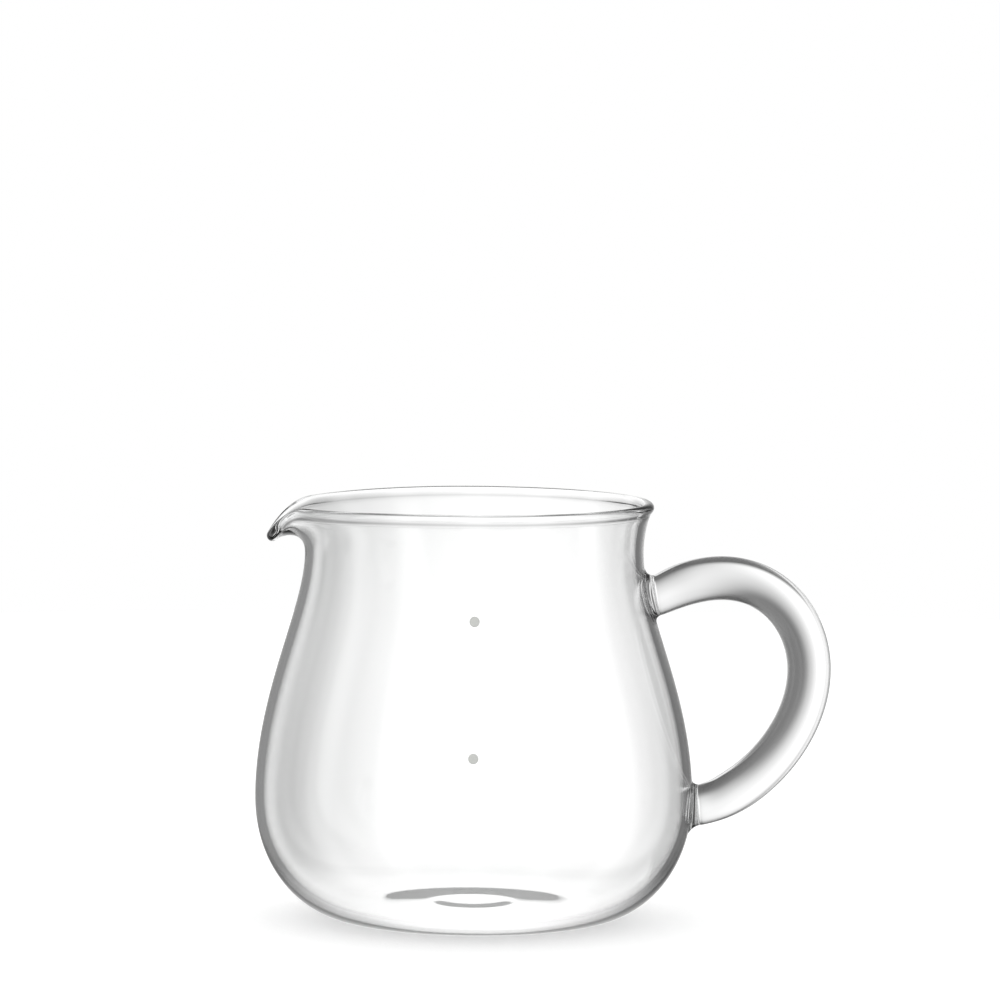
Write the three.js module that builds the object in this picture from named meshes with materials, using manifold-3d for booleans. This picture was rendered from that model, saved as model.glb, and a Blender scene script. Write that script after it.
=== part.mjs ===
// A clear glass coffee server: a blown jug with a drawn spout, a fused rod handle and two printed fill marks.
// Millimetres, +Z up, standing on z = 0. The handle points along +X and the spout along -X.
// The origin is the bottom centre of the overall box, so the jug's axis lies a little way along -X.

import * as THREE from 'three';
import { mergeVertices } from 'three/addons/utils/BufferGeometryUtils.js';
import Module from 'manifold-3d';

// Body of revolution
const HEIGHT = 84.3; // table to the top of the rim
const FOOT_RADIUS = 24; // outer edge of the flat ring that it stands on
const FOOT_RING_WIDTH = 4.5;
const BELLY_RADIUS = 44;
const BELLY_HEIGHT = 24.2;
const BELLY_FULLNESS = 21.4; // how far the belly's upright tangent reaches up into the shoulder
const WAIST_RADIUS = 33.6;
const WAIST_HEIGHT = 73.8;
const WAIST_FULLNESS = 11.7; // how far the waist's upright tangent reaches down into the shoulder
const RIM_RADIUS = 35.7; // outside of the rim bead
const RIM_FLARE = 19; // degrees that the lip leans out
const LIP_LENGTH = 3; // how far the lip's lean reaches down into the neck
const WALL = 1.6;
const BASE_THICKNESS = 2.4;
const RIM_BEAD = 2.1; // thickness of the fire-polished rim
const PUSH_UP = 1.2; // rise of the hollow under the base
const SEAL_RADIUS = 7; // the thick spot in the middle, where the blown bottom was sealed
const SEAL_HEIGHT = 0.7;

// Drawn spout
const SPOUT_REACH = 42; // axis to the outside of the drip lip
const SPOUT_DROP = 7.5; // rim height to the middle of the drip lip's bead
const SPOUT_DROOP = 25; // degrees that the drip lip points below level
const SPOUT_LIP_LENGTH = 4;
const BEAK_HALF_ANGLE = 21.5; // degrees from the middle of the beak to its side
const DRAW_HALF_ANGLE = 85; // degrees over which the rim is drawn towards the beak
const DRAW_OUT = 3.2;
const DRAW_DOWN = 0.8;
const NECK_DRAW = 0.6;

// Handle, bent from a solid rod
const ROD_DIAMETER = 8.8;
const ROOT_DIAMETER = 8.3; // where the rod meets its weld
const HANDLE_REACH = 71.4; // axis to the outside of the handle
const HANDLE_REACH_HEIGHT = 50.7;
const UPPER_JOINT_HEIGHT = 65.2;
const LOWER_JOINT_HEIGHT = 23.2;
const UPPER_ARM_RISE = 28; // degrees above level at which the upper arm leaves the wall
const LOWER_ARM_RISE = 10; // degrees above level at which the lower arm leaves the wall
const UPPER_ARM_REACH = 21.4; // length of the bend's tangent at the upper root
const LOWER_ARM_REACH = 9.5; // length of the bend's tangent at the lower root
const CROWN_FULLNESS = 12.2; // length of the bend's tangent above the outermost point
const TAIL_FULLNESS = 13.5; // length of the bend's tangent below the outermost point
const ROOT_LENGTH = 8; // stretch over which the root turns and thickens into the rod

// Weld collars
const WELD_STANDOFF = 1.5; // wall to the seam between the collar and the rod
const WELD_FOOT_DIAMETER = 12.4; // where the collar's fillet runs out on the wall
const WELD_EDGE = 0.1; // thickness left where it runs out
const UPPER_WELD_TILT = 10; // degrees above level that the seam faces
const LOWER_WELD_TILT = 5;

// Fill marks
const MARK_DIAMETER = 2;
const MARK_THICKNESS = 0.3;
const UPPER_MARK_HEIGHT = 63.5;
const LOWER_MARK_HEIGHT = 37.5;

const SEAM_CLEARANCE = 0.3; // between fused pieces
const MARK_CLEARANCE = 0.15; // between a mark and the wall behind it

// Facets
const MERGE_DISTANCE = 1e-4;
const BODY_SEGMENTS = 72;
const BASE_STEPS = 6;
const HEEL_STEPS = 8;
const SHOULDER_STEPS = 8;
const NECK_STEPS = 5;
const BEAD_STEPS = 5;
const ROD_STEPS = 18; // along each of the handle's two bends
const ROD_SIDES = 20;
const WELD_STEPS = 5;
const MARK_SIDES = 24;

const wasm = await Module();
wasm.setup();

const glass = new THREE.MeshStandardMaterial({
  color: 0xf4f8f6, roughness: 0.03, metalness: 0, transparent: true, opacity: 0.3,
});
const enamel = new THREE.MeshStandardMaterial({ color: 0xcfd0ce, roughness: 0.6, metalness: 0 });

const radians = THREE.MathUtils.degToRad;
const lerp = THREE.MathUtils.lerp;
const point = (r, z) => new THREE.Vector2(r, z);
const heading = (degrees) => point(Math.cos(radians(degrees)), Math.sin(radians(degrees)));
const smooth = (t) => THREE.MathUtils.smoothstep(t, 0, 1);

// One at the middle of the spout, none beyond the half angle
function swell(angle, halfAngleDegrees) {
  const share = Math.abs(angle) / radians(halfAngleDegrees);
  return share < 1 ? Math.cos((share * Math.PI) / 2) ** 2 : 0;
}

// The left-hand normal of a heading, which points into the glass along an outline drawn from foot to rim
const intoGlass = (direction) => point(-direction.y, direction.x);

// Where a wall's outer face ends, given the middle of the bead on its edge and the edge's heading
function wallEdge(beadCentre, direction) {
  const drop = Math.sqrt(RIM_BEAD ** 2 - WALL ** 2) / 2;
  return beadCentre.clone()
    .addScaledVector(direction, -drop)
    .addScaledVector(intoGlass(direction), -WALL / 2);
}

const rimHeading = heading(90 - RIM_FLARE);
const rimEdge = wallEdge(point(RIM_RADIUS - RIM_BEAD / 2, HEIGHT - RIM_BEAD / 2), rimHeading);
const beakHeading = heading(-SPOUT_DROOP);
const beakEdge = wallEdge(point(SPOUT_REACH - RIM_BEAD / 2, HEIGHT - SPOUT_DROP), beakHeading);

// Outer outline of the wall, from the axis under the base up to the rim, at an angle from the spout.
// Each station is a point with the glass thickness behind it.
function outerOutline(angle) {
  const stations = [];
  const domeRadius = FOOT_RADIUS - FOOT_RING_WIDTH;
  for (let i = 0; i <= BASE_STEPS; i++) {
    const r = (domeRadius * i) / BASE_STEPS;
    const rise = PUSH_UP * (1 - (r / domeRadius) ** 2) ** 2;
    const seal = r < SEAL_RADIUS ? SEAL_HEIGHT * (1 - (r / SEAL_RADIUS) ** 2) : 0;
    stations.push({ at: point(r, rise), thickness: BASE_THICKNESS + seal });
  }

  const heel = new THREE.EllipseCurve(
    FOOT_RADIUS, BELLY_HEIGHT, BELLY_RADIUS - FOOT_RADIUS, BELLY_HEIGHT, -Math.PI / 2, 0,
  );
  heel.getPoints(HEEL_STEPS).forEach((at, i) => {
    stations.push({ at, thickness: lerp(BASE_THICKNESS, WALL, smooth(i / HEEL_STEPS)) });
  });

  const draw = swell(angle, DRAW_HALF_ANGLE);
  const beak = swell(angle, BEAK_HALF_ANGLE);
  const belly = point(BELLY_RADIUS, BELLY_HEIGHT);
  const waist = point(WAIST_RADIUS + draw * NECK_DRAW, WAIST_HEIGHT);
  const shoulder = new THREE.CubicBezierCurve(
    belly,
    belly.clone().add(point(0, BELLY_FULLNESS)),
    waist.clone().sub(point(0, WAIST_FULLNESS)),
    waist,
  );
  const drawnRim = rimEdge.clone().add(point(draw * DRAW_OUT, -draw * DRAW_DOWN));
  const edge = drawnRim.lerp(beakEdge, beak);
  const plainLip = rimHeading.clone().multiplyScalar(LIP_LENGTH);
  const lip = plainLip.lerp(beakHeading.clone().multiplyScalar(SPOUT_LIP_LENGTH), beak);
  const neck = new THREE.CubicBezierCurve(
    waist, waist.clone().add(point(0, LIP_LENGTH)), edge.clone().sub(lip), edge,
  );
  for (const [curve, steps] of [[shoulder, SHOULDER_STEPS], [neck, NECK_STEPS]]) {
    curve.getPoints(steps).slice(1).forEach((at) => stations.push({ at, thickness: WALL }));
  }
  return { stations, edgeHeading: lip.normalize() };
}

// Unit heading of the outline at a station, taken across its neighbours
function headingAt(stations, i) {
  const before = stations[Math.max(i - 1, 0)].at;
  const after = stations[Math.min(i + 1, stations.length - 1)].at;
  return after.clone().sub(before).normalize();
}

// Closed half section of the body at an angle from the spout: up the outside, round the bead, down the inside
function bodySection(angle) {
  const { stations, edgeHeading } = outerOutline(angle);
  const last = stations.length - 1;
  const inner = stations.map(({ at, thickness }, i) => {
    const along = i === 0 ? point(1, 0) : i === last ? edgeHeading : headingAt(stations, i);
    return at.clone().addScaledVector(intoGlass(along), thickness);
  });

  const inward = intoGlass(edgeHeading);
  const beadStart = Math.acos(WALL / RIM_BEAD);
  const centre = stations[last].at.clone()
    .addScaledVector(inward, WALL / 2)
    .addScaledVector(edgeHeading, (Math.sin(beadStart) * RIM_BEAD) / 2);
  const bead = [];
  for (let i = 1; i < BEAD_STEPS; i++) {
    const turn = lerp(-beadStart, Math.PI + beadStart, i / BEAD_STEPS);
    bead.push(centre.clone()
      .addScaledVector(inward, (-Math.cos(turn) * RIM_BEAD) / 2)
      .addScaledVector(edgeHeading, (Math.sin(turn) * RIM_BEAD) / 2));
  }
  return [...stations.map(({ at }) => at), ...bead, ...inner.reverse()];
}

// Blown body: a revolved half section that changes round the spout.
// The lathe turns about +Y, so the body is stood up afterwards.
function bodyGeometry() {
  const profile = bodySection(Math.PI);
  const geometry = new THREE.LatheGeometry(profile, BODY_SEGMENTS);
  const position = geometry.attributes.position;
  for (let i = 0; i <= BODY_SEGMENTS; i++) {
    const turn = (i / BODY_SEGMENTS) * 2 * Math.PI;
    const fromSpout = Math.PI - Math.abs(turn - Math.PI);
    bodySection(fromSpout).forEach(({ x: r, y: z }, j) => {
      position.setXYZ(i * profile.length + j, r * Math.sin(turn), z, r * Math.cos(turn));
    });
  }
  return geometry.rotateX(Math.PI / 2).rotateZ(-Math.PI / 2);
}

const plainOutline = outerOutline(Math.PI).stations;

// A point on the plain outer wall at a height above the heel, with the wall's outward heading there
function wallAt(height) {
  const above = plainOutline.findIndex(({ at }, i) => i > BASE_STEPS + 1 && at.y >= height);
  const low = plainOutline[above - 1].at;
  const high = plainOutline[above].at;
  const at = low.clone().lerp(high, (height - low.y) / (high.y - low.y));
  const outward = intoGlass(high.clone().sub(low).normalize()).negate();
  return { at, outward };
}

// Closed solid through rings of points, each ring with the same count, with flat ends
function loft(rings) {
  const sides = rings[0].length;
  const corners = rings.flat();
  const centres = [rings[0], rings[rings.length - 1]].map((ring) => (
    ring.reduce((sum, corner) => sum.add(corner), new THREE.Vector3()).divideScalar(sides)
  ));
  const faces = [];
  const first = corners.length;
  const lastRing = (rings.length - 1) * sides;
  for (let j = 0; j < sides; j++) {
    const k = (j + 1) % sides;
    for (let i = 0; i < rings.length - 1; i++) {
      const a = i * sides;
      const b = a + sides;
      faces.push(a + j, b + k, a + k, a + j, b + j, b + k);
    }
    faces.push(first, j, k);
    faces.push(first + 1, lastRing + k, lastRing + j);
  }
  const geometry = new THREE.BufferGeometry().setFromPoints([...corners, ...centres]);
  geometry.setIndex(faces);
  return geometry;
}

// Circle in the plane that faces along a heading in XZ. Its first corner lies on the outer side of a bend.
function ring(centre, facing, radius) {
  const up = intoGlass(facing);
  return Array.from({ length: ROD_SIDES }, (_, i) => {
    const turn = (i / ROD_SIDES) * 2 * Math.PI;
    const lift = radius * Math.cos(turn);
    return new THREE.Vector3(centre.x + up.x * lift, radius * Math.sin(turn), centre.y + up.y * lift);
  });
}

// Where the rod meets its collar: the joint's wall point, the seam's middle and the way the seam faces
function weldSeam(height, tiltDegrees) {
  const wall = wallAt(height).at;
  const facing = heading(tiltDegrees);
  return { wall, facing, middle: wall.clone().addScaledVector(facing, WELD_STANDOFF) };
}

const upperSeam = weldSeam(UPPER_JOINT_HEIGHT, UPPER_WELD_TILT);
const lowerSeam = weldSeam(LOWER_JOINT_HEIGHT, LOWER_WELD_TILT);

// Rod bent from the upper seam over the crown and back to the lower seam
function handleGeometry() {
  const outermost = point(HANDLE_REACH - ROD_DIAMETER / 2, HANDLE_REACH_HEIGHT);
  const start = upperSeam.middle.clone().addScaledVector(upperSeam.facing, SEAM_CLEARANCE);
  const end = lowerSeam.middle.clone().addScaledVector(lowerSeam.facing, SEAM_CLEARANCE);
  const crown = new THREE.CubicBezierCurve(
    start,
    start.clone().addScaledVector(heading(UPPER_ARM_RISE), UPPER_ARM_REACH),
    outermost.clone().add(point(0, CROWN_FULLNESS)),
    outermost,
  );
  const tail = new THREE.CubicBezierCurve(
    outermost,
    outermost.clone().sub(point(0, TAIL_FULLNESS)),
    end.clone().addScaledVector(heading(LOWER_ARM_RISE), LOWER_ARM_REACH),
    end,
  );
  const length = crown.getLength() + tail.getLength();

  const rings = [];
  const addRing = (curve, share, travelled) => {
    const fromRoot = Math.min(travelled, length - travelled);
    const grown = smooth(Math.min(fromRoot / ROOT_LENGTH, 1));
    const seamFacing = travelled < length / 2 ? upperSeam.facing : lowerSeam.facing.clone().negate();
    const facing = seamFacing.clone().lerp(curve.getTangentAt(share), grown).normalize();
    const radius = lerp(ROOT_DIAMETER, ROD_DIAMETER, grown) / 2;
    rings.push(ring(curve.getPointAt(share), facing, radius));
  };
  for (let i = 0; i <= ROD_STEPS; i++) {
    addRing(crown, i / ROD_STEPS, (crown.getLength() * i) / ROD_STEPS);
  }
  for (let i = 1; i <= ROD_STEPS; i++) {
    addRing(tail, i / ROD_STEPS, crown.getLength() + (tail.getLength() * i) / ROD_STEPS);
  }
  return loft(rings);
}

function toSolid(geometry) {
  const bare = geometry.clone();
  bare.deleteAttribute('normal');
  bare.deleteAttribute('uv');
  const welded = mergeVertices(bare, MERGE_DISTANCE);
  return new wasm.Manifold(new wasm.Mesh({
    numProp: 3,
    vertProperties: new Float32Array(welded.attributes.position.array),
    triVerts: new Uint32Array(welded.index.array),
  }));
}

function toGeometry(solid) {
  const { vertProperties, triVerts } = solid.getMesh();
  const geometry = new THREE.BufferGeometry();
  geometry.setAttribute('position', new THREE.BufferAttribute(new Float32Array(vertProperties), 3));
  geometry.setIndex(new THREE.BufferAttribute(new Uint32Array(triVerts), 1));
  return geometry;
}

// The body's outside, filled in and grown by the clearance, to cut the collars against
function grownBody() {
  const heel = plainOutline.slice(BASE_STEPS + 1);
  const grown = heel.map(({ at }, i) => (
    at.clone().addScaledVector(intoGlass(headingAt(heel, i)), -SEAM_CLEARANCE)
  ));
  const profile = [point(0, grown[0].y), ...grown, point(0, grown[grown.length - 1].y)];
  const geometry = new THREE.LatheGeometry(profile, BODY_SEGMENTS);
  return toSolid(geometry.rotateX(Math.PI / 2).rotateZ(-Math.PI / 2));
}

// Fillet of glass from the wall to the seam, whose foot settles onto the wall's curve all round
function weldGeometry({ wall, facing }) {
  const seamRadius = ROOT_DIAMETER / 2;
  const footRadius = WELD_FOOT_DIAMETER / 2;
  const rings = [];
  for (let i = 0; i <= WELD_STEPS; i++) {
    const share = i / WELD_STEPS;
    const flare = 1 - Math.sqrt(1 - (1 - share) ** 2);
    const standoff = lerp(SEAM_CLEARANCE + WELD_EDGE, WELD_STANDOFF, share);
    const corners = ring(wall, facing, lerp(seamRadius, footRadius, flare));
    rings.push(corners.map(({ x, y, z }) => {
      const wallX = Math.sqrt(wallAt(z).at.x ** 2 - y ** 2);
      return new THREE.Vector3(lerp(wallX, x, share) + facing.x * standoff, y, z + facing.y * standoff);
    }));
  }
  const root = rings[0].map(({ x, y, z }) => new THREE.Vector3(x - WALL, y, z));
  return toGeometry(toSolid(loft([root, ...rings])).subtract(grownBody()));
}

// Printed dot on the front of the wall, flat against it
function markMesh(name, height) {
  const { at, outward } = wallAt(height);
  const radius = MARK_DIAMETER / 2;
  const geometry = new THREE.CylinderGeometry(radius, radius, MARK_THICKNESS, MARK_SIDES);
  const mesh = new THREE.Mesh(geometry, enamel.clone());
  const seat = at.clone().addScaledVector(outward, MARK_CLEARANCE + MARK_THICKNESS / 2);
  mesh.position.set(0, -seat.x, seat.y);
  mesh.quaternion.setFromUnitVectors(
    new THREE.Vector3(0, 1, 0), new THREE.Vector3(0, -outward.x, outward.y),
  );
  mesh.name = name;
  return mesh;
}

function glassMesh(name, geometry) {
  const mesh = new THREE.Mesh(geometry, glass.clone());
  mesh.name = name;
  return mesh;
}

const server = new THREE.Group();
server.add(
  glassMesh('glass_body', bodyGeometry()),
  glassMesh('handle', handleGeometry()),
  glassMesh('upper_handle_weld', weldGeometry(upperSeam)),
  glassMesh('lower_handle_weld', weldGeometry(lowerSeam)),
  markMesh('upper_fill_mark', UPPER_MARK_HEIGHT),
  markMesh('lower_fill_mark', LOWER_MARK_HEIGHT),
);
server.position.x = (BELLY_RADIUS - HANDLE_REACH) / 2;

export default server;
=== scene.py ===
import math

import bmesh
import bpy
from mathutils import Matrix, Vector


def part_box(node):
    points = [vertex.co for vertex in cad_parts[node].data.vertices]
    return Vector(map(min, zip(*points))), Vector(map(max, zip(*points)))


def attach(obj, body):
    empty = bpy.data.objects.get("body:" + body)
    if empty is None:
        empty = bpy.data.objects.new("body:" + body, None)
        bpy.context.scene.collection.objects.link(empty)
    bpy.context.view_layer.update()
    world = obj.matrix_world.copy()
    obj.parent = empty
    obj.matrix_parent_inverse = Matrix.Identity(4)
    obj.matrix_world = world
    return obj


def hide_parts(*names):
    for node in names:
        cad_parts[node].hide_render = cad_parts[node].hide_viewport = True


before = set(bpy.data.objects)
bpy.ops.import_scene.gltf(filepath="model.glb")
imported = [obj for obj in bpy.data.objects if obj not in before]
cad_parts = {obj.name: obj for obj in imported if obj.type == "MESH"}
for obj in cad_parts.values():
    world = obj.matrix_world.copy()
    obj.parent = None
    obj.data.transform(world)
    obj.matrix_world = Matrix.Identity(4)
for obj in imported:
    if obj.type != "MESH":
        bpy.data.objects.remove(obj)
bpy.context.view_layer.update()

MM = 0.001

# Sizes of the jug, in millimetres from its own axis
HEIGHT = 84.3
FOOT_RADIUS = 24
FOOT_RING_WIDTH = 4.5
BELLY_RADIUS = 44
BELLY_HEIGHT = 24.2
BELLY_FULLNESS = 21.4
WAIST_RADIUS = 33.6
WAIST_HEIGHT = 73.8
WAIST_FULLNESS = 11.7
RIM_RADIUS = 35.7
RIM_FLARE = 19
LIP_LENGTH = 3
WALL = 1.6
BASE_THICKNESS = 2.1
RIM_BEAD = 2.4
HOLLOW_RADIUS = 18.4
HOLLOW_DEPTH = 1.2
SEAL_RADIUS = 8.2
SEAL_HEIGHT = 1

# Sizes of the drawn spout
SPOUT_REACH = 42.1
SPOUT_DROP = 7.8
SPOUT_DROOP = 25
SPOUT_LIP_LENGTH = 4
BEAK_HALF_ANGLE = 21.5
DRAW_HALF_ANGLE = 85
DRAW_OUT = 3.2
DRAW_DOWN = 0.8
NECK_DRAW = 0.6

# Sizes of the handle and its welds
ROD_DIAMETER = 8.8
ROOT_DIAMETER = 8.3
HANDLE_REACH = 71.4
HANDLE_REACH_HEIGHT = 50.7
UPPER_JOINT_HEIGHT = 65.2
LOWER_JOINT_HEIGHT = 23.2
UPPER_ARM_RISE = 28
LOWER_ARM_RISE = 10
UPPER_ARM_REACH = 21.4
LOWER_ARM_REACH = 9.5
CROWN_FULLNESS = 12.2
TAIL_FULLNESS = 13.5
ROOT_LENGTH = 8
WELD_STANDOFF = 1.5
WELD_FOOT_DIAMETER = 12.4
UPPER_WELD_TILT = 10
LOWER_WELD_TILT = 5
WELD_GAP = 0.04
SEAM_GROOVE = 0.06
SEAM_HALF_WIDTH = 0.25
FILLET_FOOT = 0.15
FILLET_WAIST = 0.5

# Sizes of the printed dots
DOT_DIAMETER = 2
DOT_THICKNESS = 0.08
DOT_GAP = 0.03
DOT_EDGE_RING = 0.25
DOT_INNER_RING = 0.35
UPPER_DOT_HEIGHT = 63.5
LOWER_DOT_HEIGHT = 37.5

# Points in the cage that the glass is smoothed from
COLUMNS = 64
BASE_STEPS = 10
HEEL_STEPS = 9
SHOULDER_STEPS = 15
NECK_STEPS = 5
BEAD_STEPS = 9
ROD_STEPS = 16
ROD_SIDES = 16
DOT_SIDES = 32
ROD_ROUNDING = (2 + math.cos(2 * math.pi / ROD_SIDES)) / 3

body_low, body_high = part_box("glass_body")
AXIS_X = (body_low.x + body_high.x) / 2


def heading(degrees):
    return Vector((math.cos(math.radians(degrees)), math.sin(math.radians(degrees))))


def left_of(direction):
    return Vector((-direction.y, direction.x))


def smooth(share):
    share = min(max(share, 0), 1)
    return share * share * (3 - 2 * share)


def blend(a, b, share):
    return a + (b - a) * share


def bend(a, b, c, d, share):
    rest = 1 - share
    return a * rest**3 + b * (3 * rest**2 * share) + c * (3 * rest * share**2) + d * share**3


def swell(angle, half_angle):
    share = abs(angle) / math.radians(half_angle)
    return math.cos(share * math.pi / 2) ** 2 if share < 1 else 0


def wall_edge(bead_centre, direction):
    drop = math.sqrt(RIM_BEAD**2 - WALL**2) / 2
    return bead_centre - direction * drop - left_of(direction) * (WALL / 2)


RIM_HEADING = heading(90 - RIM_FLARE)
RIM_EDGE = wall_edge(Vector((RIM_RADIUS - RIM_BEAD / 2, HEIGHT - RIM_BEAD / 2)), RIM_HEADING)
BEAK_HEADING = heading(-SPOUT_DROOP)
BEAK_EDGE = wall_edge(Vector((SPOUT_REACH - RIM_BEAD / 2, HEIGHT - SPOUT_DROP)), BEAK_HEADING)


def outer_outline(angle):
    """Points up the outside of the wall at an angle from the spout, with the thickness of glass behind each."""
    stations = []
    dome_radius = FOOT_RADIUS - FOOT_RING_WIDTH
    for i in range(BASE_STEPS + 1):
        r = dome_radius * i / BASE_STEPS
        rise = HOLLOW_DEPTH * max(0, 1 - (r / HOLLOW_RADIUS) ** 2)
        rise -= SEAL_HEIGHT * max(0, 1 - (r / SEAL_RADIUS) ** 2)
        stations.append((Vector((r, rise)), BASE_THICKNESS - rise))
    for i in range(HEEL_STEPS + 1):
        turn = math.pi / 2 * i / HEEL_STEPS
        r = FOOT_RADIUS + (BELLY_RADIUS - FOOT_RADIUS) * math.sin(turn)
        z = BELLY_HEIGHT * (1 - math.cos(turn))
        stations.append((Vector((r, z)), blend(BASE_THICKNESS, WALL, smooth(i / HEEL_STEPS))))

    draw = swell(angle, DRAW_HALF_ANGLE)
    beak = swell(angle, BEAK_HALF_ANGLE)
    belly = Vector((BELLY_RADIUS, BELLY_HEIGHT))
    waist = Vector((WAIST_RADIUS + draw * NECK_DRAW, WAIST_HEIGHT))
    for i in range(1, SHOULDER_STEPS + 1):
        at = bend(
            belly, belly + Vector((0, BELLY_FULLNESS)), waist - Vector((0, WAIST_FULLNESS)), waist,
            i / SHOULDER_STEPS,
        )
        stations.append((at, WALL))
    edge = blend(RIM_EDGE + Vector((draw * DRAW_OUT, -draw * DRAW_DOWN)), BEAK_EDGE, beak)
    lip = blend(RIM_HEADING * LIP_LENGTH, BEAK_HEADING * SPOUT_LIP_LENGTH, beak)
    for i in range(1, NECK_STEPS + 1):
        at = bend(waist, waist + Vector((0, LIP_LENGTH)), edge - lip, edge, i / NECK_STEPS)
        stations.append((at, WALL))
    return stations, lip.normalized()


def body_section(angle):
    """Half section of the body: up the outside, round the rim's bead and down the inside."""
    stations, edge_heading = outer_outline(angle)
    last = len(stations) - 1
    inner = []
    for i, (at, thickness) in enumerate(stations):
        before = stations[max(i - 1, 0)][0]
        after = stations[min(i + 1, last)][0]
        along = (after - before).normalized()
        if i == 0:
            along = Vector((1, 0))
        if i == last:
            along = edge_heading
        inner.append(at + left_of(along) * thickness)
    inward = left_of(edge_heading)
    bead_start = math.acos(WALL / RIM_BEAD)
    centre = stations[last][0] + inward * (WALL / 2) + edge_heading * (math.sin(bead_start) * RIM_BEAD / 2)
    bead = []
    for i in range(1, BEAD_STEPS):
        turn = blend(-bead_start, math.pi + bead_start, i / BEAD_STEPS)
        across = inward * (math.cos(turn) * RIM_BEAD / 2)
        bead.append(centre - across + edge_heading * (math.sin(turn) * RIM_BEAD / 2))
    return [at for at, _ in stations] + bead + inner[::-1]


def settled(cage_line):
    """Where the smoothing leaves the inner points of a line that is spun round the axis."""
    rounding = (2 + math.cos(2 * math.pi / COLUMNS)) / 3
    line = []
    for before, at, after in zip(cage_line, cage_line[1:], cage_line[2:]):
        middle = (before + at * 4 + after) / 6
        line.append(Vector((middle.x * rounding, middle.y)))
    return line


WALL_LINE = settled([at for at, _ in outer_outline(math.pi)[0]][BASE_STEPS + 1:])


def wall_radius(height):
    """Outer radius of the plain wall at a height above the heel's start."""
    for low, high in zip(WALL_LINE, WALL_LINE[1:]):
        if low.y <= height <= high.y:
            return blend(low.x, high.x, (height - low.y) / (high.y - low.y))


def placed(r, height, angle=0.0):
    """Place, in metres, of a point at a radius, height and angle from the handle's side."""
    return Vector((AXIS_X + r * MM * math.cos(angle), r * MM * math.sin(angle), height * MM))


def only(obj):
    bpy.ops.object.select_all(action="DESELECT")
    obj.select_set(True)
    bpy.context.view_layer.objects.active = obj


def spin_body():
    """Traces the half section corner by corner, spins it round the axis and draws out the spout."""
    section = body_section(math.pi)
    bpy.ops.object.select_all(action="DESELECT")
    bpy.ops.mesh.primitive_plane_add(size=10 * MM, location=(0, 0, 0))
    body = bpy.context.object
    body.name = "glass_jug"
    bpy.ops.object.mode_set(mode="EDIT")
    bpy.ops.mesh.select_all(action="SELECT")
    bpy.ops.mesh.merge(type="CENTER")
    bpy.ops.transform.translate(value=placed(section[0].x, section[0].y))
    for before, after in zip(section, section[1:]):
        step = placed(after.x, after.y) - placed(before.x, before.y)
        bpy.ops.mesh.extrude_vertices_move(TRANSFORM_OT_translate={"value": step})
    bpy.ops.mesh.select_all(action="SELECT")
    bpy.ops.mesh.spin(steps=COLUMNS, angle=2 * math.pi, center=(AXIS_X, 0, 0), axis=(0, 0, 1))
    bpy.ops.mesh.select_all(action="SELECT")
    bpy.ops.mesh.remove_doubles(threshold=0.01 * MM)
    bpy.ops.mesh.normals_make_consistent(inside=False)

    cage = bmesh.from_edit_mesh(body.data)
    for corner in cage.verts:
        x = (corner.co.x - AXIS_X) / MM
        y = corner.co.y / MM
        here = Vector((math.hypot(x, y), corner.co.z / MM))
        if here.x < 0.01:
            continue
        station = min(range(len(section)), key=lambda i: (section[i] - here).length_squared)
        turn = math.atan2(y, x)
        drawn = body_section(math.pi - abs(turn))[station]
        corner.co = placed(drawn.x, drawn.y, turn)
    bmesh.update_edit_mesh(body.data)
    bpy.ops.object.mode_set(mode="OBJECT")
    return body


def ring(centre, facing, radius):
    """Corners of a rod's ring, in millimetres from the jug's axis, the first on the upper side."""
    up = left_of(facing)
    corners = []
    for i in range(ROD_SIDES):
        turn = 2 * math.pi * i / ROD_SIDES
        lift = radius * math.cos(turn)
        corners.append(Vector((centre.x + up.x * lift, radius * math.sin(turn), centre.y + up.y * lift)))
    return corners


def weld_rings(joint_height, tilt):
    """Rings from under the weld's foot, out to its edge and up the fillet to the seam with the rod.

    Each ring has its share of the way from the wall's curve to a flat ring, its standoff and its radius.
    """
    wall = Vector((wall_radius(joint_height), joint_height))
    facing = heading(tilt)
    foot = WELD_FOOT_DIAMETER / 2
    seam = ROOT_DIAMETER / 2 / ROD_ROUNDING
    rings = []
    for share, standoff, radius in (
        (0, WELD_GAP, foot * 0.4),
        (0, WELD_GAP, foot * 0.8),
        (0, WELD_GAP, foot),
        (0.3, FILLET_FOOT, blend(foot, seam, 0.5)),
        (0.65, FILLET_WAIST, blend(foot, seam, 0.85)),
        (0.9, WELD_STANDOFF - SEAM_HALF_WIDTH, seam),
        (1, WELD_STANDOFF, seam - SEAM_GROOVE),
    ):
        corners = []
        for corner in ring(wall, facing, radius):
            on_wall = math.sqrt(wall_radius(corner.z) ** 2 - corner.y**2)
            x = blend(on_wall, corner.x, share) + facing.x * standoff
            corners.append(Vector((x, corner.y, corner.z + facing.y * standoff)))
        rings.append(corners)
    return rings, wall + facing * WELD_STANDOFF, facing


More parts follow.
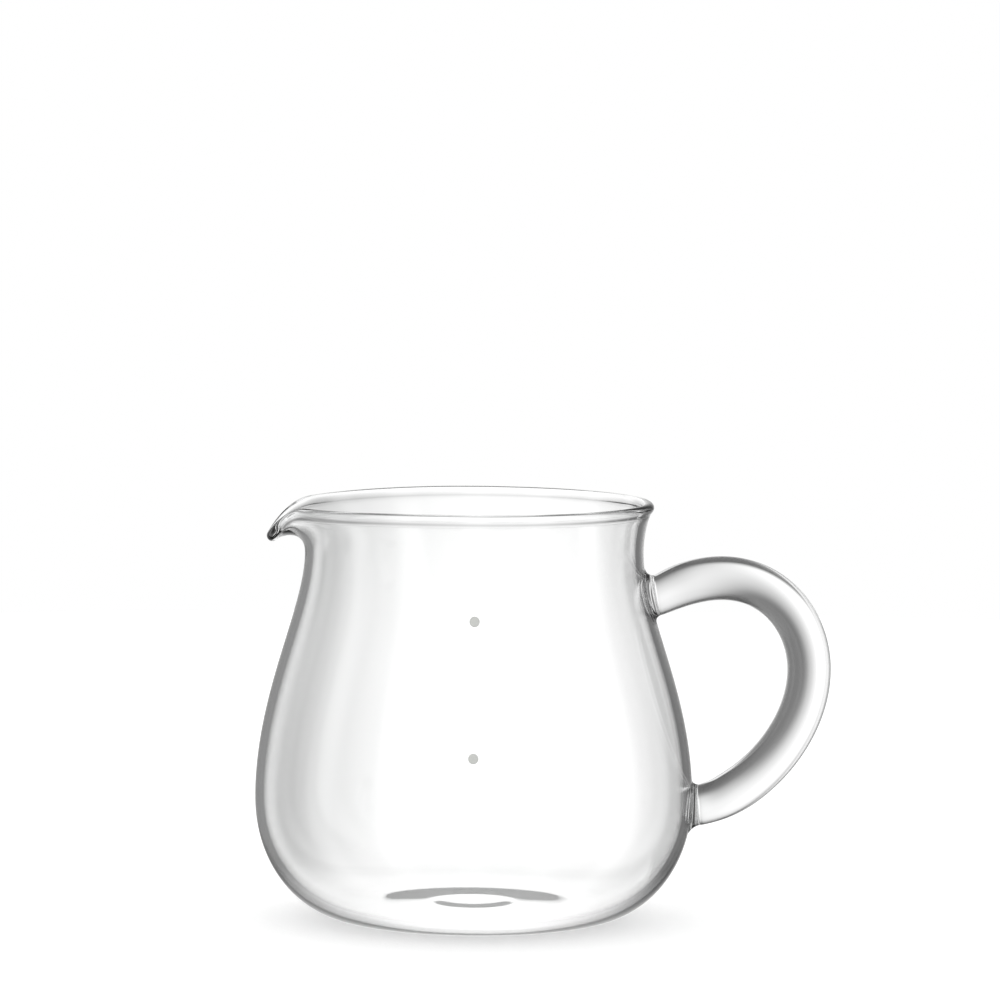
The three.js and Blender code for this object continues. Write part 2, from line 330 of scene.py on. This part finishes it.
def rod_rings(upper_middle, upper_facing, lower_middle, lower_facing):
    """Rings along the rod, which leaves one weld, bends over the crown and comes back to the other."""
    outermost = Vector((HANDLE_REACH - ROD_DIAMETER / 2, HANDLE_REACH_HEIGHT))
    crown = (
        upper_middle, upper_middle + heading(UPPER_ARM_RISE) * UPPER_ARM_REACH,
        outermost + Vector((0, CROWN_FULLNESS)), outermost,
    )
    tail = (
        outermost, outermost - Vector((0, TAIL_FULLNESS)),
        lower_middle + heading(LOWER_ARM_RISE) * LOWER_ARM_REACH, lower_middle,
    )
    path = [bend(*crown, i / ROD_STEPS) for i in range(ROD_STEPS + 1)]
    path += [bend(*tail, i / ROD_STEPS) for i in range(1, ROD_STEPS + 1)]
    travelled = [0]
    for before, after in zip(path, path[1:]):
        travelled.append(travelled[-1] + (after - before).length)
    whole = travelled[-1]

    rings = []
    root = ROOT_DIAMETER / 2 / ROD_ROUNDING
    rings.append(ring(upper_middle + upper_facing * SEAM_HALF_WIDTH, upper_facing, root))
    for i in range(1, len(path) - 1):
        grown = smooth(min(travelled[i], whole - travelled[i]) / ROOT_LENGTH)
        seam_facing = upper_facing if travelled[i] < whole / 2 else -lower_facing
        along = (path[i + 1] - path[i - 1]).normalized()
        facing = blend(seam_facing, along, grown).normalized()
        radius = blend(ROOT_DIAMETER, ROD_DIAMETER, grown) / 2 / ROD_ROUNDING
        rings.append(ring(path[i], facing, radius))
    rings.append(ring(lower_middle + lower_facing * SEAM_HALF_WIDTH, -lower_facing, root))
    return rings


def draw_handle():
    """Draws the rod out ring by ring from under the upper weld to under the lower, and closes both ends."""
    upper, upper_middle, upper_facing = weld_rings(UPPER_JOINT_HEIGHT, UPPER_WELD_TILT)
    lower, lower_middle, lower_facing = weld_rings(LOWER_JOINT_HEIGHT, LOWER_WELD_TILT)
    half = ROD_SIDES // 2
    rings = upper + rod_rings(upper_middle, upper_facing, lower_middle, lower_facing)
    rings += [[corners[(half - i) % ROD_SIDES] for i in range(ROD_SIDES)] for corners in lower[::-1]]

    bpy.ops.object.select_all(action="DESELECT")
    bpy.ops.mesh.primitive_circle_add(vertices=ROD_SIDES, radius=ROOT_DIAMETER / 2 * MM, location=(0, 0, 0))
    handle = bpy.context.object
    handle.name = "glass_handle"
    bpy.ops.object.mode_set(mode="EDIT")
    cage = bmesh.from_edit_mesh(handle.data)
    place = cage.verts.layers.int.new("ring_corner")
    for i, corner in enumerate(cage.verts):
        corner[place] = i
    bpy.ops.mesh.select_mode(type="EDGE")
    bpy.ops.mesh.select_all(action="SELECT")
    for step, corners in enumerate(rings):
        if step > 0:
            bpy.ops.mesh.extrude_edges_move()
        cage = bmesh.from_edit_mesh(handle.data)
        place = cage.verts.layers.int["ring_corner"]
        for corner in cage.verts:
            if corner.select:
                to = corners[corner[place]]
                corner.co = Vector((AXIS_X + to.x * MM, to.y * MM, to.z * MM))
        bmesh.update_edit_mesh(handle.data)
    bpy.ops.mesh.select_all(action="SELECT")
    bpy.ops.mesh.fill_holes(sides=0)
    bpy.ops.mesh.select_all(action="SELECT")
    bpy.ops.mesh.normals_make_consistent(inside=False)
    bpy.ops.object.mode_set(mode="OBJECT")
    return handle


def smoothed(piece):
    only(piece)
    piece.modifiers.new("smoothed", "SUBSURF").levels = 2
    bpy.ops.object.modifier_apply(modifier="smoothed")
    bpy.ops.object.shade_smooth()


jug = spin_body()
smoothed(jug)
handle = draw_handle()
smoothed(handle)


def node(tree, kind, **settings):
    made = tree.nodes.new(kind)
    for name, value in settings.items():
        setattr(made, name, value)
    return made


def join(tree, value, socket):
    """Sets a socket to a plain number or colour, or links another node's output to it."""
    if isinstance(value, bpy.types.NodeSocket):
        tree.links.new(value, socket)
    else:
        socket.default_value = value


def math_node(tree, operation, a, b=0.0):
    made = node(tree, "ShaderNodeMath", operation=operation)
    join(tree, a, made.inputs[0])
    join(tree, b, made.inputs[1])
    return made.outputs["Value"]


def soft_step(tree, value, start, end, low=0.0, high=1.0):
    made = node(tree, "ShaderNodeMapRange", interpolation_type="SMOOTHSTEP")
    tree.links.new(value, made.inputs["Value"])
    made.inputs["From Min"].default_value = min(start, end)
    made.inputs["From Max"].default_value = max(start, end)
    made.inputs["To Min"].default_value = low if start < end else high
    made.inputs["To Max"].default_value = high if start < end else low
    return made.outputs["Result"]


def mixed(tree, share, a, b):
    made = node(tree, "ShaderNodeMix", data_type="FLOAT")
    tree.links.new(share, made.inputs["Factor"])
    join(tree, a, made.inputs["A"])
    join(tree, b, made.inputs["B"])
    return made.outputs["Result"]


def mixed_colour(tree, share, a, b):
    made = node(tree, "ShaderNodeMix", data_type="RGBA")
    tree.links.new(share, made.inputs["Factor"])
    made.inputs["A"].default_value = (*a, 1)
    made.inputs["B"].default_value = (*b, 1)
    return made.outputs["Result"]


def material(name):
    made = bpy.data.materials.new(name)
    made.use_nodes = True
    return made, made.node_tree, made.node_tree.nodes["Principled BSDF"]


def mottle_group():
    """Soft uneven patches, drawn out along the piece's height, that every finish has some of."""
    group = bpy.data.node_groups.new("soft_mottle", "ShaderNodeTree")
    for name, kind, value in (
        ("Patches per Metre", "NodeSocketFloat", 100.0),
        ("Drawn Out", "NodeSocketFloat", 1.0),
        ("Fine Detail", "NodeSocketFloat", 2.0),
    ):
        group.interface.new_socket(name, in_out="INPUT", socket_type=kind).default_value = value
    group.interface.new_socket("Mask", in_out="OUTPUT", socket_type="NodeSocketFloat")
    given = node(group, "NodeGroupInput")
    place = node(group, "ShaderNodeTexCoord")
    axes = node(group, "ShaderNodeSeparateXYZ")
    group.links.new(place.outputs["Object"], axes.inputs["Vector"])
    upright = math_node(group, "DIVIDE", axes.outputs["Z"], given.outputs["Drawn Out"])
    drawn = node(group, "ShaderNodeCombineXYZ")
    group.links.new(axes.outputs["X"], drawn.inputs["X"])
    group.links.new(axes.outputs["Y"], drawn.inputs["Y"])
    group.links.new(upright, drawn.inputs["Z"])
    cloud = node(group, "ShaderNodeTexNoise")
    group.links.new(drawn.outputs["Vector"], cloud.inputs["Vector"])
    group.links.new(given.outputs["Patches per Metre"], cloud.inputs["Scale"])
    group.links.new(given.outputs["Fine Detail"], cloud.inputs["Detail"])
    clear = soft_step(group, cloud.outputs["Fac"], 0.3, 0.7)
    shown = node(group, "NodeGroupOutput")
    group.links.new(clear, shown.inputs["Mask"])
    return group


MOTTLE = mottle_group()


def mottle(tree, patches, drawn_out, detail):
    made = node(tree, "ShaderNodeGroup", node_tree=MOTTLE)
    made.inputs["Patches per Metre"].default_value = patches
    made.inputs["Drawn Out"].default_value = drawn_out
    made.inputs["Fine Detail"].default_value = detail
    return made.outputs["Mask"]


def bump(tree, shader, mask, depth):
    """Raises the surface by a depth in millimetres where the mask is full."""
    made = node(tree, "ShaderNodeBump")
    made.inputs["Distance"].default_value = depth * MM
    tree.links.new(mask, made.inputs["Height"])
    tree.links.new(made.outputs["Normal"], shader.inputs["Normal"])


# Clear glass: slow waves left by the blowing, and a trace of haze and colour
glass, tree, shader = material("clear_glass")
waves = mottle(tree, 28, 3, 0)
haze = mottle(tree, 160, 1, 3)
tree.links.new(mixed_colour(tree, waves, (0.995, 0.999, 0.997), (1, 1, 1)), shader.inputs["Base Color"])
tree.links.new(soft_step(tree, haze, 0.4, 1, 0.0, 0.012), shader.inputs["Roughness"])
bump(tree, shader, waves, 0.05)
shader.inputs["IOR"].default_value = 1.47
shader.inputs["Transmission Weight"].default_value = 1
for piece in (jug, handle):
    piece.data.materials.append(glass)
    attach(piece, "root")
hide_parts("glass_body")
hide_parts("handle", "upper_handle_weld", "lower_handle_weld")

# Fired print: speckled light grey, a little rough
enamel, tree, shader = material("grey_enamel")
speckle = mottle(tree, 4200, 1, 3)
greys = mixed_colour(tree, speckle, (0.58, 0.59, 0.565), (0.65, 0.66, 0.635))
tree.links.new(greys, shader.inputs["Base Color"])
tree.links.new(soft_step(tree, speckle, 0, 1, 0.42, 0.58), shader.inputs["Roughness"])
bump(tree, shader, speckle, 0.01)


def print_dot(name, height, stands_for):
    bpy.ops.object.select_all(action="DESELECT")
    bpy.ops.mesh.primitive_circle_add(
        vertices=DOT_SIDES, radius=DOT_DIAMETER / 2 * MM, fill_type="NGON", location=(0, 0, 0)
    )
    dot = bpy.context.object
    dot.name = name
    bpy.ops.object.mode_set(mode="EDIT")
    bpy.ops.mesh.select_all(action="SELECT")
    bpy.ops.mesh.inset(thickness=DOT_EDGE_RING * MM)
    bpy.ops.mesh.inset(thickness=DOT_INNER_RING * MM)
    bpy.ops.mesh.poke()
    bpy.ops.mesh.select_all(action="SELECT")
    bpy.ops.transform.rotate(value=math.pi / 2, orient_axis="X")
    bpy.ops.mesh.normals_make_consistent(inside=False)
    bpy.ops.object.mode_set(mode="OBJECT")
    for corner in dot.data.vertices:
        x = corner.co.x / MM
        z = height + corner.co.z / MM
        out = math.sqrt(wall_radius(z) ** 2 - x * x) + DOT_GAP
        corner.co = Vector((AXIS_X + x * MM, -out * MM, z * MM))
    only(dot)
    thick = dot.modifiers.new("thickness", "SOLIDIFY")
    thick.thickness = DOT_THICKNESS * MM
    thick.offset = 1
    bpy.ops.object.modifier_apply(modifier="thickness")
    bpy.ops.object.shade_smooth()
    dot.data.materials.append(enamel)
    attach(dot, "root")
    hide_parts(stands_for)


print_dot("upper_dot", UPPER_DOT_HEIGHT, "upper_fill_mark")
print_dot("lower_dot", LOWER_DOT_HEIGHT, "lower_fill_mark")


def shown_in_glass(tree):
    """Light path, and 1 on it where a ray has met glass."""
    path = node(tree, "ShaderNodeLightPath")
    met = math_node(tree, "MAXIMUM", path.outputs["Is Glossy Ray"], path.outputs["Is Transmission Ray"])
    return path, met


def object_axes(tree):
    place = node(tree, "ShaderNodeTexCoord")
    axes = node(tree, "ShaderNodeSeparateXYZ")
    tree.links.new(place.outputs["Object"], axes.inputs["Vector"])
    return axes.outputs


def distance(tree, a, b):
    squares = [math_node(tree, "MULTIPLY", side, side) for side in (a, b)]
    return math_node(tree, "SQRT", math_node(tree, "ADD", *squares))


def light_or_clear(tree, level, share):
    """Plain white light of one level where the share is full, and clear where it is nothing."""
    light = node(tree, "ShaderNodeEmission")
    light.inputs["Color"].default_value = (1, 1, 1, 1)
    light.inputs["Strength"].default_value = level
    clear = node(tree, "ShaderNodeBsdfTransparent")
    mix = node(tree, "ShaderNodeMixShader")
    tree.links.new(share, mix.inputs["Fac"])
    tree.links.new(clear.outputs["BSDF"], mix.inputs[1])
    tree.links.new(light.outputs["Emission"], mix.inputs[2])
    return mix.outputs["Shader"]


# Pale floor, lifted to white for the camera. The glass shows it only close to the jug, and there as a painted
# white glow of one level, without the jug's shadow
FLOOR_RADIUS = 0.6
FLOOR_LIFT = 0.3
FLOOR_GLOW_IN_GLASS = 1.1
SHOWN_WITHIN = 0.025
FADED_BY = 0.1
SHOWN_NARROWING = 0.55
bpy.ops.object.select_all(action="DESELECT")
bpy.ops.mesh.primitive_circle_add(vertices=128, radius=FLOOR_RADIUS, fill_type="NGON", location=(0, 0, 0))
floor = bpy.context.object
floor.name = "floor"
paper, tree, shader = material("pale_floor")
grain = mottle(tree, 900, 1, 4)
greys = mixed_colour(tree, grain, (0.91, 0.91, 0.91), (0.93, 0.93, 0.93))
tree.links.new(greys, shader.inputs["Base Color"])
bump(tree, shader, grain, 0.02)
shader.inputs["Roughness"].default_value = 0.8
shader.inputs["Specular IOR Level"].default_value = 0.1
path, in_glass = shown_in_glass(tree)
shader.inputs["Emission Color"].default_value = (1, 1, 1, 1)
lift = math_node(tree, "MULTIPLY", path.outputs["Is Camera Ray"], FLOOR_LIFT)
tree.links.new(lift, shader.inputs["Emission Strength"])
axes = object_axes(tree)
sideways = math_node(tree, "DIVIDE", math_node(tree, "SUBTRACT", axes["X"], AXIS_X), SHOWN_NARROWING)
from_axis = distance(tree, sideways, axes["Y"])
# Painted glow for the glass: plain white light close to the jug, fading to clear further out
near = soft_step(tree, from_axis, FADED_BY, SHOWN_WITHIN)
either = node(tree, "ShaderNodeMixShader")
tree.links.new(in_glass, either.inputs["Fac"])
tree.links.new(shader.outputs["BSDF"], either.inputs[1])
tree.links.new(light_or_clear(tree, FLOOR_GLOW_IN_GLASS, near), either.inputs[2])
tree.links.new(either.outputs["Shader"], tree.nodes["Material Output"].inputs["Surface"])
floor.data.materials.append(paper)


def upright_sheet(name, finish, size, middle):
    """A sheet across the view that only the glass shows, with its bare finish."""
    bpy.ops.object.select_all(action="DESELECT")
    bpy.ops.mesh.primitive_plane_add(size=size, location=middle, rotation=(math.pi / 2, 0, 0))
    sheet = bpy.context.object
    sheet.name = name
    made = bpy.data.materials.new(finish)
    made.use_nodes = True
    made.node_tree.nodes.clear()
    sheet.data.materials.append(made)
    sheet.visible_camera = False
    sheet.visible_diffuse = False
    sheet.visible_shadow = False
    return sheet, made.node_tree


def finish_sheet(tree, level, share):
    out = node(tree, "ShaderNodeOutputMaterial")
    tree.links.new(light_or_clear(tree, level, share), out.inputs["Surface"])


# Lit panel behind the jug, an arch with soft edges that shows through the glass
PANEL_DISTANCE = 0.141
PANEL_MIDDLE_X = -0.005
PANEL_HALF_WIDTH = 0.054
PANEL_SOFTNESS = 0.075
PANEL_ARCH_RISE = 0.135
PANEL_FOOT = -0.06
PANEL_FOOT_END = -0.01
PANEL_BRIGHTNESS = 1.18
PANEL_SIZE = 1
panel, tree = upright_sheet("lit_panel", "panel_glow", PANEL_SIZE, (PANEL_MIDDLE_X, PANEL_DISTANCE, 0))
axes = object_axes(tree)
across = math_node(tree, "DIVIDE", axes["X"], PANEL_HALF_WIDTH)
above = math_node(tree, "DIVIDE", math_node(tree, "MAXIMUM", axes["Y"], 0.0), PANEL_ARCH_RISE)
edge = PANEL_SOFTNESS / PANEL_HALF_WIDTH / 2
arch = soft_step(tree, distance(tree, across, above), 1 + edge, 1 - edge)
foot = soft_step(tree, axes["Y"], PANEL_FOOT, PANEL_FOOT_END)
finish_sheet(tree, PANEL_BRIGHTNESS, math_node(tree, "MULTIPLY", arch, foot))

# Dark card behind the handle's far side, which darkens the rod's inner edge
CARD_LEVEL = 0.19
CARD_DISTANCE = 0.06
CARD_LEFT = 0.082
CARD_WIDTH = 0.08
CARD_SOFTNESS = 0.012
CARD_SIZE = 0.2
CARD_MIDDLE_HEIGHT = 0.05
card_middle = (CARD_LEFT + CARD_SIZE / 2, CARD_DISTANCE, CARD_MIDDLE_HEIGHT)
card, tree = upright_sheet("dark_card", "card_shade", CARD_SIZE, card_middle)
axes = object_axes(tree)
card_left = -CARD_SIZE / 2
card_right = card_left + CARD_WIDTH
starts = soft_step(tree, axes["X"], card_left, card_left + CARD_SOFTNESS)
stops = soft_step(tree, axes["X"], card_right, card_right - CARD_SOFTNESS)
finish_sheet(tree, CARD_LEVEL, math_node(tree, "MULTIPLY", starts, stops))

# Studio: white all round, and for the glass a room of soft windows with a dark end behind the panel
WINDOW_GAP = 0.35
DARK_LEFT = -36
DARK_LEFT_FADE = 8
DARK_RIGHT = 38
DARK_RIGHT_FADE = 8
ROOM_LEFT = 0.29
ROOM_RIGHT = 0.19
ROOM_ABOVE = 0.05
ROOM_BELOW = 0.12
CEILING = 0.55
CEILING_STARTS = 20
CEILING_FULL = 50
NADIR = 0.7
NADIR_STARTS = -50
NADIR_FULL = -70
BELOW_STARTS = -18
BELOW_FULL = -40
SIDE_TURN = 15
WINDOWS_ROUND = 8
STUDIO_LEVEL = 1.0
world = bpy.data.worlds.new("studio")
bpy.context.scene.world = world
world.use_nodes = True
tree = world.node_tree
tree.nodes.clear()
place = node(tree, "ShaderNodeTexCoord")
axes = node(tree, "ShaderNodeSeparateXYZ")
tree.links.new(place.outputs["Generated"], axes.inputs["Vector"])
around = math_node(tree, "ARCTAN2", axes.outputs["X"], axes.outputs["Y"])
height = axes.outputs["Z"]
turn = math.radians


def by_height(starts, full):
    return soft_step(tree, height, math.sin(turn(starts)), math.sin(turn(full)))


stripes = math_node(tree, "COSINE", math_node(tree, "MULTIPLY", around, WINDOWS_ROUND))
window = soft_step(tree, stripes, -0.2, 1.0, WINDOW_GAP, 1.0)
high = by_height(CEILING_STARTS, CEILING_FULL)
windows = mixed(tree, by_height(NADIR_STARTS, NADIR_FULL), mixed(tree, high, window, CEILING), NADIR)
side = soft_step(tree, around, turn(-SIDE_TURN), turn(SIDE_TURN), ROOM_LEFT, ROOM_RIGHT)
dark_end = mixed(tree, by_height(BELOW_STARTS, BELOW_FULL), mixed(tree, high, side, ROOM_ABOVE), ROOM_BELOW)
left_half = DARK_LEFT_FADE / 2
right_half = DARK_RIGHT_FADE / 2
beyond_left = soft_step(tree, around, turn(DARK_LEFT + left_half), turn(DARK_LEFT - left_half))
beyond_right = soft_step(tree, around, turn(DARK_RIGHT - right_half), turn(DARK_RIGHT + right_half))
room = mixed(tree, math_node(tree, "MAXIMUM", beyond_left, beyond_right), dark_end, windows)
path, in_glass = shown_in_glass(tree)
first = math_node(tree, "LESS_THAN", path.outputs["Diffuse Depth"], 0.5)
level = mixed(tree, math_node(tree, "MULTIPLY", in_glass, first), STUDIO_LEVEL, room)
light = node(tree, "ShaderNodeBackground")
light.inputs["Color"].default_value = (1, 1, 1, 1)
tree.links.new(level, light.inputs["Strength"])
out = node(tree, "ShaderNodeOutputWorld")
tree.links.new(light.outputs["Background"], out.inputs["Surface"])

# Camera as the photograph was taken
VIEW_HEIGHT = 4.926
VIEW_DISTANCE = 1.2995
VIEW_ROLL = 0.527
VIEW_SPAN = 0.2
SENSOR_WIDTH = 36
VIEW_MIDDLE = Vector((AXIS_X + 4.728 * MM, 0, 84.325 * MM))
rolled = Matrix.Rotation(math.radians(VIEW_ROLL), 4, "Z")
tilt = Matrix.Rotation(math.radians(90 - VIEW_HEIGHT), 4, "X") @ rolled
bpy.ops.object.camera_add()
camera = bpy.context.object
camera.data.sensor_width = SENSOR_WIDTH
camera.data.lens = SENSOR_WIDTH * VIEW_DISTANCE / VIEW_SPAN
camera.data.clip_start = 0.01
camera.matrix_world = Matrix.Translation(VIEW_MIDDLE + tilt.to_3x3() @ Vector((0, 0, VIEW_DISTANCE))) @ tilt
bpy.context.scene.camera = camera
bpy.context.scene.view_settings.view_transform = "Standard"
